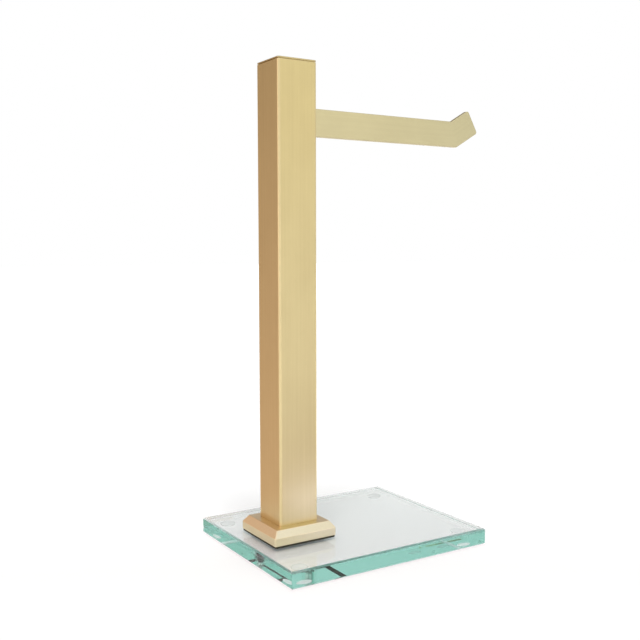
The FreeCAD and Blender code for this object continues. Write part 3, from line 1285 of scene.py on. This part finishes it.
@dataclass
class Post:
    """The square tube with its arm slot, the cap and the insert that holds it.

    Attributes:
        wall, corner_radius, bore_radius: the tube's wall, its outer corners and its inner corners.
        seam_round: how round the tube's upper edge is.
        slot_half_width, slot_clearance: the arm's slot, and its play above and below the tang.
        block_below, block_above: how far the clamp block reaches below and above the tang.
        cap_round: how round the cap's upper edge is.
        rebate_height, rebate_depth: the step under the cap's rim, which shows as a seam.
        seam_fade: how soon the painted shade in the rebate ends.
        stem_radius, stem_round: the cap's stem and its rounded end.
        tube_facets, cap_facets: how finely the surfaces are divided.
    """

    wall: float = 1.5
    corner_radius: float = 1.6
    bore_radius: float = 0.5
    seam_round: float = 0.15
    slot_half_width: float = 1.6
    slot_clearance: float = 0.1
    block_below: float = 4.5
    block_above: float = 8.0
    cap_round: float = 0.45
    rebate_height: float = 0.45
    rebate_depth: float = 0.8
    seam_fade: float = 0.05
    stem_radius: float = 2.5
    stem_round: float = 0.4
    tube_facets: Facets = Facets(fillet=3, corner=10, landing=0.12)
    cap_facets: Facets = Facets(fillet=5, corner=10, landing=0.1)

    def slot_heights(self) -> tuple[float, float]:
        """Works out the slot's heights from the clamp block round the arm's tang.

        Returns:
            The slot's lower and upper height.
        """
        block_low, block_high = node_heights("arm_block")
        low = block_low + self.block_below - self.slot_clearance
        return low, block_high - self.block_above + self.slot_clearance

    def tube(self) -> bpy.types.Object:
        """Builds the tube: its wall section carried round, with the arm's slot cut through the +X wall.

        The slot takes out the cells between two split columns and the last rows of the bends at its
        lower and upper height, in the outer and the inner wall, and four quads join the two openings.

        Returns:
            The tube.
        """
        bottom, top = node_heights("post_tube")
        wide = half_width("post_tube")
        bore = wide - self.wall
        slot_low, slot_high = self.slot_heights()
        outer, inner = {"corner": self.corner_radius}, {"corner": self.bore_radius}
        bends = [
            Bend(wide, bottom, **outer),
            Bend(wide, slot_low, **outer),
            Bend(wide, slot_high, **outer),
            Bend(wide, top, self.seam_round, **outer),
            Bend(bore, top, **inner),
            Bend(bore, slot_high, **inner),
            Bend(bore, slot_low, **inner),
            Bend(bore, bottom, **inner),
        ]
        splits = (-self.slot_half_width, self.slot_half_width)
        sheet = carry_round(bends, node_axis("post_tube"), self.tube_facets, splits)
        rows, cols = sheet.edge.shape
        left, right = cols - 2, cols - 1
        at_slot = np.array([i for i, b in enumerate(bends) if b.height in (slot_low, slot_high)])
        outer_low, outer_high, inner_high, inner_low = (at_slot + 1) * self.tube_facets.per_bend - 1
        without = np.zeros((rows, cols), bool)
        without[outer_low:outer_high, left] = True
        without[inner_high:inner_low, left] = True
        number = np.arange(rows * cols).reshape(rows, cols)
        sides = [left, right, right, left]
        mouth = number[[outer_low, outer_low, outer_high, outer_high], sides]
        inside = number[[inner_low, inner_low, inner_high, inner_high], sides]
        walls = np.stack([mouth, inside, np.roll(inside, -1), np.roll(mouth, -1)], axis=1)
        return make_piece("square_post", [sheet], walls, without)

    def cap(self) -> bpy.types.Object:
        """Builds the cap: a plate rebated over the seam, with a round stem below, carried round its axis.

        Returns:
            The cap.
        """
        bottom, top = node_heights("top_cap")
        wide = half_width("top_cap")
        seat = node_heights("post_tube")[1]
        seam, step, flat = seat + self.rebate_height, wide - self.rebate_depth, wide - 2 * self.cap_round
        square, stepped = {"corner": self.corner_radius}, {"corner": self.corner_radius - self.rebate_depth}
        stem = self.stem_radius
        bends = [
            Bend(0.0, top),
            Bend(flat, top, corner=self.corner_radius - self.cap_round, corners=False),
            Bend(wide, top, self.cap_round, **square),
            Bend(wide, seam + self.seam_fade, **square),
            # the rebate's rows carry the edge mask, so the cap's dark edge tone paints shade in the seam
            Bend(wide, seam, ground=1.0, **square),
            Bend(step, seam, ground=1.0, **stepped),
            Bend(step, seat, ground=1.0, **stepped),
            Bend(stem, seat, corner=stem),
            Bend(stem, bottom, self.stem_round, corner=stem),
            Bend(0.0, bottom),
        ]
        return make_piece("post_cap", [carry_round(bends, node_axis("top_cap"), self.cap_facets)])

    def build(self) -> None:
        """Builds and dresses the post's pieces."""
        fit_piece(self.tube(), "post_tube", POST_GOLD.material())
        fit_piece(self.cap(), "top_cap", CAP_GOLD.material())
        dress_node("cap_insert", INSERT_NYLON.material())


@dataclass
class TowelArm:
    """The flat bar arm, the clamp block that takes its tang and the two set screws.

    Attributes:
        screw: the set screws' thread and socket.
        height, edge_round: height of the bar and radius of its long edges.
        tang_shoulder: how much lower the tang is than the bar, above and below.
        bend_radius, tip_angle, tip_length, tip_corner: the upturn's bends, its slope in degrees, its
            length past the kink and the corners of its end.
        screw_radius, screw_chamfer: the set screws' radius and the cut at their upper end.
        point_radius, point_depth: the set screws' points.
        screw_places: their places along X.
        bar_facets, tip_chords: how finely the bar and the corners of its end are divided.
    """

    screw: Screw
    height: float = 16.7
    edge_round: float = 0.4
    tang_shoulder: float = 2.0
    bend_radius: float = 1.2
    tip_angle: float = 30.0
    tip_length: float = 18.7
    tip_corner: float = 1.8
    screw_radius: float = 2.0
    screw_chamfer: float = 0.3
    point_radius: float = 1.0
    point_depth: float = 0.8
    screw_places: tuple[float, float] = (-60.4, -50.2)
    bar_facets: Facets = Facets(fillet=6, corner=5, landing=0.08)
    tip_chords: int = 8

    def edges(self) -> tuple[np.ndarray, np.ndarray, np.ndarray, np.ndarray]:
        """Works out the bar's upper and lower edge curves.

        Both start level, turn up by the tip angle on an arc round the kink, and run on to the tip,
        where they close in on quarter arcs: half height less r plus the root of r squared minus the
        square of how far the point lies past the arc's start. The bar's sides close in on a smaller arc
        of the same kind, so that the cut end has soft edges all round.

        Returns:
            The upper and lower edge as (X, Z) rows, the distance along the straightened bar, and how
            far each row's sides close in.
        """
        low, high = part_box("towel_arm")
        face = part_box("post_tube")[1].x / MM
        half, turn = self.height / 2, math.radians(self.tip_angle)
        level = low.z / MM + half
        r, length = self.tip_corner, self.tip_length
        forward = length * math.cos(turn) + half * math.sin(turn)
        bend_x = high.x / MM - forward + r * (math.cos(turn) + math.sin(turn) - 1)
        mitre = half * math.tan(turn / 2)
        setback = np.array([self.bend_radius * math.tan(turn / 2), 0.0])
        along = np.array([math.cos(turn), math.sin(turn)])
        across = np.array([-math.sin(turn), math.cos(turn)])
        sweep = np.linspace(0.0, turn, self.bar_facets.fillet + 1)
        arc = self.bend_radius * np.stack([np.sin(sweep), 1 - np.cos(sweep)], axis=1)
        lower_arc = np.array([bend_x + mitre, level - half]) - setback + arc
        upper_arc = np.array([bend_x - mitre, level + half]) - setback + arc
        straight = np.array([low.x / MM, face, face])
        tang = np.array([half - self.tang_shoulder, half - self.tang_shoulder, half])
        quarter = np.linspace(0.0, math.pi / 2, self.tip_chords + 1)
        past = length - r + r * np.sin(quarter)
        close = (half - r + r * np.cos(quarter))[:, None] * across
        tip = np.array([bend_x, level]) + past[:, None] * along
        upper = np.concatenate([np.stack([straight, level + tang], 1), upper_arc, tip + close])
        lower = np.concatenate([np.stack([straight, level - tang], 1), lower_arc, tip - close])
        middle = (upper + lower) / 2
        run = np.concatenate([[0.0], np.cumsum(np.linalg.norm(np.diff(middle, axis=0), axis=1))])
        soft = np.clip(past - length + self.edge_round, 0.0, self.edge_round)
        inset = np.pad(self.edge_round - np.sqrt(self.edge_round**2 - soft**2), (len(run) - len(past), 0))
        return upper, lower, run, inset

    @staticmethod
    def with_poles(grid: np.ndarray) -> np.ndarray:
        """Closes a carried section at both ends with the middles of its first and last rows.

        Args:
            grid: the section's rows, of shape (rows, columns, 3).

        Returns:
            The grid with a pole row before it and one after it.
        """
        middles = grid[[0, -1]].mean(axis=1, keepdims=True)
        poles = np.broadcast_to(middles, (2, *grid.shape[1:]))
        return np.concatenate([poles[:1], grid, poles[1:]])

    def bar(self) -> bpy.types.Object:
        """Builds the bar: a rounded-rectangle section carried along its two edge curves.

        A section's point is the middle between the curves, plus its share along the line that joins
        them, plus its share along Y.

        Returns:
            The bar.
        """
        upper, lower, run, inset = self.edges()
        low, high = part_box("towel_arm")
        thick = (high.y - low.y) / 2 / MM
        middle, rise = (upper + lower) / 2, (upper - lower) / 2
        tall = np.linalg.norm(rise, axis=1)
        rise = rise / tall[:, None]
        radius = np.full(len(run), self.edge_round)
        section, col_mask = rounded_loops(tall, thick - inset, radius, self.bar_facets)
        a, b = section[..., 0], section[..., 1]
        points = np.stack([
            middle[:, None, 0] + a * rise[:, None, 0],
            (low.y + high.y) / 2 / MM + b,
            middle[:, None, 1] + a * rise[:, None, 1],
        ], axis=-1)
        place = np.stack([np.broadcast_to(run[:, None], a.shape), b, a], axis=-1)
        # the mask marks the bar's long edges and its end, where the arm's dark edge tone paints shade
        edge = np.pad(np.maximum(col_mask, inset[:, None] > 0), ((1, 1), (0, 0)))
        return make_piece("towel_bar", [Sheet(self.with_poles(points), edge, False, self.with_poles(place))])

    def set_screws(self) -> bpy.types.Object:
        """Builds the two set screws, cone points down in the tang, key sockets up.

        Returns:
            The two screws as one piece.
        """
        bottom, top = node_heights("arm_set_screws")
        body, tip, cut = self.screw_radius, self.point_radius, self.screw_chamfer
        shoulder = bottom + self.point_depth
        outline = [
            (body - cut, top, 0.0),
            (body, top - cut, 0.0),
            (body, top - cut - self.screw.pitch / 2, 1.0),
            (body, shoulder + body - tip, 1.0),
            (tip, shoulder, 0.0),
            (tip - self.point_depth, bottom, 0.0),
        ]
        sheets = [self.screw.surface(outline, x, y=0.0) for x in self.screw_places]
        return make_piece("arm_grub_screws", sheets)

    def build(self) -> None:
        """Builds and dresses the arm's pieces."""
        fit_piece(self.bar(), "towel_arm", ARM_GOLD.material())
        fit_piece(self.set_screws(), "arm_set_screws", SCREW_STEEL.material())
        dress_node("arm_block", PLUG_BRASS.material())


# Studio


@dataclass(frozen=True)
class ReflectionGlowCard:
    """A card that glows with its own colour and that only reflections see; it lights nothing, is kept out of
    the picture and paints what the metal and glass reflect.

    Attributes:
        name: its name.
        centre: its middle, in metres.
        toward: a point it faces.
        size: width and height.
        low: the colour it glows at the bottom.
        high: the colour it glows at the top, where that differs.
    """

    name: str
    centre: Place
    toward: Place
    size: tuple[float, float]
    low: Colour
    high: Colour | None = None


@dataclass
class Studio:
    """Pale floor, white surroundings, one soft lamp, glowing cards that paint reflections, and the camera, in
    metres.

    Attributes:
        camera_place: where the camera stands.
        yaw, pitch, roll: the way it looks, in degrees: right of +Y, down, and turned about its view.
        lens, sensor: its focal length and sensor width in millimetres.
        near_limit: the nearest that it sees.
        floor_size, floor_gap, floor_albedo: the floor's side, how far it lies below the stand, and how
            pale it is.
        lamp_place, lamp_size, lamp_power: the lamp's place, its side and its power in watts.
        lift_near, fade_near: how much the floor glows, and between which distances from the spot below
            the lamp the glow grows.
        lift_far, fade_far: the same by distance from the stand.
        ambient: strength of the surroundings' light on matt surfaces.
        bounces, clear_bounces, see_through: how often light goes on in all, in glossy and clear pieces,
            and through plainly transparent ones.
        cards: the glowing cards that paint what the reflections show.
    """

    camera_place: Place = (-0.3206, -0.4565, 0.1875)
    yaw: float = 32.03
    pitch: float = 4.904
    roll: float = 0.091
    lens: float = 49.45
    sensor: float = 36.0
    near_limit: float = 0.01
    floor_size: float = 14.0
    floor_gap: float = 0.00005
    floor_albedo: float = 0.92
    lamp_place: Place = (-0.645, -1.017, 2.21)
    lamp_size: float = 1.2
    lamp_power: float = 45.5
    lift_near: tuple[float, float] = (0.055, 0.29)
    fade_near: tuple[float, float] = (1.15, 1.38)
    lift_far: tuple[float, float] = (0.0, 0.55)
    fade_far: tuple[float, float] = (0.65, 3.00)
    ambient: float = 0.42
    bounces: int = 32
    clear_bounces: int = 24
    see_through: int = 16
    # glowing cards seen only in reflections: each paints a lighter or darker reflection on the metal and
    # glass
    cards: tuple[ReflectionGlowCard, ...] = (
        ReflectionGlowCard("warm_reflection_glow", (-0.115, 0.0613, 0.37), (-0.065, -0.0257, 0.37), (0.105, 0.74),
                      (0.79, 0.585, 0.48, 1.0), (0.138, 0.113, 0.048, 1.0)),
        ReflectionGlowCard("edge_strip", (-0.956, 0.143, 0.25), (-0.058, 0.0, 0.2), (0.50, 1.0),
                      (1.37, 1.18, 1.17, 1.0)),
        ReflectionGlowCard("back_reflection_glow", (0.48, 0.85, 0.22), (-0.02, 0.0, 0.1), (1.30, 0.44),
                      (0.92, 0.87, 0.86, 1.0), (0.68, 0.60, 0.55, 1.0)),
        ReflectionGlowCard("high_softbox", (0.60, -0.77, 0.94), (-0.058, -0.02, 0.02), (0.60, 0.50),
                      (1.15, 1.30, 1.64, 1.0)),
        ReflectionGlowCard("front_reflection_glow", (0.51, -0.98, 0.40), (-0.03, 0.0, 0.2), (0.70, 0.80),
                      (0.98, 0.98, 1.02, 1.0), (1.05, 1.0, 0.66, 1.0)),
        ReflectionGlowCard("near_floor_reflection_glow", (0.04, -0.112, 0.003), (0.04, -0.112, 1.0), (0.24, 0.065),
                      (0.78, 0.64, 0.66, 1.0)),
        ReflectionGlowCard("wall_strip", (0.03, -0.072, 0.016), (0.03, 0.0, 0.016), (0.13, 0.013),
                      (1.60, 1.65, 2.50, 1.0)),
        ReflectionGlowCard("far_floor_reflection_glow", (0.11, -0.26, 0.002), (0.11, -0.26, 1.0), (0.20, 0.16),
                      (0.66, 0.62, 0.68, 1.0)),
        ReflectionGlowCard("ceiling_reflection_glow", (0.10, 0.82, 0.73), (-0.02, 0.0, 0.2), (1.4, 0.66),
                      (0.20, 0.16, 0.12, 1.0)),
        ReflectionGlowCard("side_reflection_glow", (0.70, -0.40, 0.36), (-0.02, 0.0, 0.3), (0.50, 0.70),
                      (0.86, 0.88, 0.86, 1.0), (0.68, 0.72, 0.70, 1.0)),
    )

    def camera(self) -> None:
        """Makes the camera: forward from yaw and pitch, then a small roll about it."""
        yaw, pitch, roll = (math.radians(v) for v in (self.yaw, self.pitch, self.roll))
        forward = Vector((math.sin(yaw) * math.cos(pitch), math.cos(yaw) * math.cos(pitch), -math.sin(pitch)))
        right = Vector((math.cos(yaw), -math.sin(yaw), 0.0))
        up = right.cross(forward)
        turned_right = math.cos(roll) * right - math.sin(roll) * up
        turned_up = math.sin(roll) * right + math.cos(roll) * up
        view = Matrix((turned_right, turned_up, -forward)).transposed().to_4x4()
        optics = bpy.data.cameras.new("photo_camera")
        optics.lens = self.lens
        optics.sensor_width = self.sensor
        optics.clip_start = self.near_limit
        camera = bpy.data.objects.new("photo_camera", optics)
        camera.matrix_world = Matrix.Translation(self.camera_place) @ view
        bpy.context.scene.collection.objects.link(camera)
        bpy.context.scene.camera = camera

    @staticmethod
    def seen_directly(bench: Bench) -> bpy.types.NodeSocket:
        """Tells the rays that show a surface from those that only light others.

        Args:
            bench: the material's or world's bench.

        Returns:
            1 for camera, glossy and transmission rays and 0 for the rest.
        """
        path = bench.add("LightPath")
        some = bench.math("MAXIMUM", path.outputs["Is Camera Ray"], path.outputs["Is Glossy Ray"])
        return bench.math("MAXIMUM", some, path.outputs["Is Transmission Ray"])

    @staticmethod
    def facing(centre: Sequence[float], toward: Sequence[float], front: str = "Z") -> Matrix:
        """Returns the place of what stands at centre and turns its front axis toward a point."""
        aim = Vector(toward) - Vector(centre)
        return Matrix.Translation(centre) @ aim.to_track_quat(front, "Y").to_matrix().to_4x4()

    def card(
        self, name: str, centre: Place, toward: Place, size: tuple[float, float], material: bpy.types.Material
    ) -> bpy.types.Object:
        """Stands a flat card in the studio: a rectangle of its width and height about its middle.

        Args:
            name: its name.
            centre: its middle, in metres.
            toward: a point it faces.
            size: width and height.
            material: its material.

        Returns:
            The card, marked as stage.
        """
        u, v = np.meshgrid([-0.5, 0.5], [-0.5, 0.5])
        points = np.stack([u * size[0], v * size[1], np.zeros_like(u)], axis=-1).reshape(-1, 3)
        mesh = bpy.data.meshes.new(name)
        mesh.from_pydata(points.tolist(), [], [(0, 1, 3, 2)])
        mesh.materials.append(material)
        card = bpy.data.objects.new(name, mesh)
        card.matrix_world = self.facing(centre, toward)
        bpy.context.scene.collection.objects.link(card)
        return card

    def floor(self) -> None:
        """Lays the pale floor: a diffuse sheet that keeps the shadow, lifted to white away from the lamp."""
        material = bpy.data.materials.new("pale_floor")
        bench = Bench.cleared(material)
        grey = self.floor_albedo
        matt = bench.add("BsdfDiffuse", {"Color": (grey, grey, grey, 1.0)})
        middle, above = (0.0, 0.0, -self.floor_gap), (0.0, 0.0, 1.0)
        below = self.facing(middle, above).inverted() @ Vector((*self.lamp_place[:2], 0.0))
        place = bench.object_place()
        from_lamp = bench.add("VectorMath", {0: place, 1: below}, operation="DISTANCE").outputs["Value"]
        from_middle = bench.add("VectorMath", {0: place}, operation="LENGTH").outputs["Value"]
        near = bench.span(from_lamp, *self.fade_near, *self.lift_near)
        far = bench.span(from_middle, *self.fade_far, *self.lift_far)
        lift = bench.math("ADD", near, far)
        glow = bench.add("Emission", {"Strength": bench.math("MULTIPLY", self.seen_directly(bench), lift)})
        both = bench.add("AddShader", {0: matt.outputs[0], 1: glow.outputs[0]})
        bench.add("OutputMaterial", {"Surface": both.outputs[0]})
        self.card("floor", middle, above, (self.floor_size, self.floor_size), material)

    def glow_card(self, card: ReflectionGlowCard) -> None:
        """Stands a glowing card that only reflections see, painting a reflection, its colour running from low
        at its bottom edge to high at its top.

        Args:
            card: the card.
        """
        material = bpy.data.materials.new(card.name)
        bench = Bench.cleared(material)
        rise = bench.add("SeparateXYZ", {0: bench.object_place()}).outputs[1]
        share = bench.span(rise, low=-card.size[1] / 2, high=card.size[1] / 2)
        glow = bench.add("Emission", {"Color": bench.blend(share, card.low, card.high or card.low)})
        bench.add("OutputMaterial", {"Surface": glow.outputs[0]})
        sheet = self.card(card.name, card.centre, card.toward, card.size, material)
        for rays in ("camera", "diffuse", "shadow", "transmission"):
            setattr(sheet, "visible_" + rays, False)

    def lamp(self) -> None:
        """Hangs the square soft lamp, aimed at the post's foot and seen by no reflection."""
        light = bpy.data.lights.new("key_lamp", "AREA")
        light.shape = "SQUARE"
        light.size = self.lamp_size
        light.energy = self.lamp_power
        lamp = bpy.data.objects.new("key_lamp", light)
        foot = (*(v * MM for v in node_axis("post_tube")), 0.0)
        lamp.matrix_world = self.facing(self.lamp_place, foot, front="-Z")
        lamp.visible_glossy = lamp.visible_transmission = False
        bpy.context.scene.collection.objects.link(lamp)

    def world(self) -> None:
        """Sets the surroundings: white where they are seen, a plain soft light for the rest."""
        world = bpy.data.worlds.new("studio")
        bench = Bench.cleared(world)
        strength = bench.span(self.seen_directly(bench), to_low=self.ambient)
        back = bench.add("Background", {"Color": WHITE, "Strength": strength})
        bench.add("OutputWorld", {"Surface": back.outputs[0]})
        bpy.context.scene.world = world

    def build(self) -> None:
        """Builds the studio."""
        scene = bpy.context.scene
        scene.view_settings.view_transform = "Standard"
        scene.cycles.caustics_refractive = False
        scene.cycles.max_bounces = self.bounces
        scene.cycles.glossy_bounces = scene.cycles.transmission_bounces = self.clear_bounces
        scene.cycles.transparent_max_bounces = self.see_through
        self.camera()
        self.world()
        self.floor()
        self.lamp()
        for card in self.cards:
            self.glow_card(card)


def main() -> None:
    """Builds the stand's sub-assemblies in order, then the studio."""
    logging.basicConfig(level=logging.INFO, format="%(message)s")
    clamp_thread = Screw(pitch=1.0, thread_depth=0.6, socket_across=4.0, socket_depth=2.0)
    grub_thread = Screw(pitch=0.7, thread_depth=0.4, socket_across=2.0, socket_depth=2.0)
    for assembly in (GlassPlate(), FootClamp(clamp_thread), Post(), TowelArm(grub_thread), Studio()):
        LOG.info("building %s", type(assembly).__name__)
        assembly.build()


if __name__ == "__main__":
    main()
